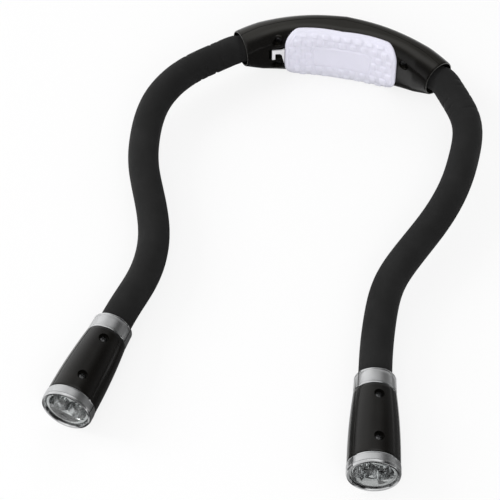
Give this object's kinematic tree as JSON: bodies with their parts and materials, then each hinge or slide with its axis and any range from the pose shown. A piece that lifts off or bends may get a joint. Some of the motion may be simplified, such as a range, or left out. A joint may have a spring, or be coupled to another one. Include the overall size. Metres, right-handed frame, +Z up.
{
  "type": "neck reading light",
  "caption": "Arched battery housing worn on the nape, with flexible sleeved arms that each end in a twin-LED reading head.",
  "frame": {"origin": "middle of the housing's flat underside, on the centreline of its arch, on the table that the light lies on", "axes": "+Z up, square to the table; -Y from the housing towards the heads; +X towards the wearer's left side"},
  "size_m": [0.1914, 0.292, 0.0366],
  "materials": {
    "black_gloss_plastic": "moulded, glossy warm black",
    "soft_white_rubber": "soft milky silicone, semi-matte",
    "white_plastic": "moulded grey-white",
    "charcoal_rubber": "matte soft rubber",
    "satin_silver": "satin, polished lip",
    "chrome": "metallised plastic, mirror bright",
    "steel": "plain bright steel",
    "clear_plastic": "clear, polished",
    "cell_jacket": "plain blue-grey jacket with no print",
    "nickel": "nickel plated spring steel",
    "board_green": "green solder mask"
  },
  "bodies": {
    "housing": {"outer_shell": "black_gloss_plastic", "inner_shell": "black_gloss_plastic", "housing_screw_right": "steel", "housing_screw_left_upper": "steel", "housing_screw_left_lower": "steel", "lower_cell": "cell_jacket", "middle_cell": "cell_jacket", "upper_cell": "cell_jacket", "lower_cell_spring": "nickel", "middle_cell_spring": "nickel", "upper_cell_spring": "nickel", "left_contact_plate": "nickel", "right_contact_plate": "nickel", "left_sleeve_1": "charcoal_rubber", "left_core_1": "steel", "right_sleeve_1": "charcoal_rubber", "right_core_1": "steel"},
    "door": {"battery_door": "black_gloss_plastic", "comfort_pad": "soft_white_rubber"},
    "latch": {"door_latch": "white_plastic"},
    "left_arm_2": {"left_sleeve_2": "charcoal_rubber", "left_core_2": "steel"},
    "left_arm_3": {"left_sleeve_3": "charcoal_rubber", "left_core_3": "steel"},
    "left_arm_4": {"left_sleeve_4": "charcoal_rubber", "left_core_4": "steel"},
    "left_head": {"left_sleeve_5": "charcoal_rubber", "left_core_5": "steel", "left_head_body": "black_gloss_plastic", "left_head_cover": "black_gloss_plastic", "left_collar": "satin_silver", "left_bezel": "satin_silver", "left_lens": "clear_plastic", "left_reflector": "chrome", "left_led_a": "clear_plastic", "left_led_b": "clear_plastic", "left_switch_board": "board_green", "left_head_screw_rear": "steel", "left_head_screw_front": "steel"},
    "left_push": {"left_button": "charcoal_rubber"},
    "right_arm_2": {"right_sleeve_2": "charcoal_rubber", "right_core_2": "steel"},
    "right_arm_3": {"right_sleeve_3": "charcoal_rubber", "right_core_3": "steel"},
    "right_arm_4": {"right_sleeve_4": "charcoal_rubber", "right_core_4": "steel"},
    "right_head": {"right_sleeve_5": "charcoal_rubber", "right_core_5": "steel", "right_head_body": "black_gloss_plastic", "right_head_cover": "black_gloss_plastic", "right_collar": "satin_silver", "right_bezel": "satin_silver", "right_lens": "clear_plastic", "right_reflector": "chrome", "right_led_a": "clear_plastic", "right_led_b": "clear_plastic", "right_switch_board": "board_green", "right_head_screw_rear": "steel", "right_head_screw_front": "steel"},
    "right_push": {"right_button": "charcoal_rubber"}
  },
  "joints": [
    {"name": "door_hinge", "type": "hinge", "parent": "housing", "child": "door", "pos_m": [0.03289, -0.0144, 0.0183], "axis": [0, 0, 1], "range_deg": [0, 60]},
    {"name": "latch_flex", "type": "hinge", "parent": "door", "child": "latch", "pos_m": [-0.03163, -0.01413, 0.0203], "axis": [0, 0, 1], "range_deg": [-5, 10], "stiffness_Nm_per_rad": 0.3},
    {"name": "left_arm_spread", "type": "hinge", "parent": "housing", "child": "left_arm_2", "pos_m": [-0.07714, -0.03204, 0.01805], "axis": [0, 0, 1], "range_deg": [-35, 25]},
    {"name": "left_arm_lift", "type": "hinge", "parent": "left_arm_2", "child": "left_arm_3", "pos_m": [-0.09487, -0.08528, 0.01623], "axis": [-0.9965, -0.084, 0], "range_deg": [-35, 35]},
    {"name": "left_arm_turn", "type": "hinge", "parent": "left_arm_3", "child": "left_arm_4", "pos_m": [-0.07805, -0.14057, 0.01379], "axis": [0, 0, 1], "range_deg": [-35, 35]},
    {"name": "left_head_tilt", "type": "hinge", "parent": "left_arm_4", "child": "left_head", "pos_m": [-0.07415, -0.19747, 0.01208], "axis": [-0.9728, 0.2316, 0], "range_deg": [-35, 35]},
    {"name": "left_button_press", "type": "slide", "parent": "left_head", "child": "left_push", "axis": [0.2264, -0.0083, 0.974], "range_m": [0, 0.0008], "stiffness_N_per_m": 1000, "springref_m": -0.0004},
    {"name": "right_arm_spread", "type": "hinge", "parent": "housing", "child": "right_arm_2", "pos_m": [0.07307, -0.03522, 0.0181], "axis": [0, 0, 1], "range_deg": [-25, 35]},
    {"name": "right_arm_lift", "type": "hinge", "parent": "right_arm_2", "child": "right_arm_3", "pos_m": [0.07774, -0.09161, 0.0167], "axis": [-0.9869, 0.1613, 0], "range_deg": [-35, 35]},
    {"name": "right_arm_turn", "type": "hinge", "parent": "right_arm_3", "child": "right_arm_4", "pos_m": [0.05966, -0.14622, 0.01481], "axis": [0, 0, 1], "range_deg": [-35, 35]},
    {"name": "right_head_tilt", "type": "hinge", "parent": "right_arm_4", "child": "right_head", "pos_m": [0.05465, -0.20299, 0.01349], "axis": [-0.9954, -0.0958, 0], "range_deg": [-35, 35]},
    {"name": "right_button_press", "type": "slide", "parent": "right_head", "child": "right_push", "axis": [0.1541, 0.027, 0.9877], "range_m": [0, 0.0008], "stiffness_N_per_m": 1000, "springref_m": -0.0004}
  ]
}
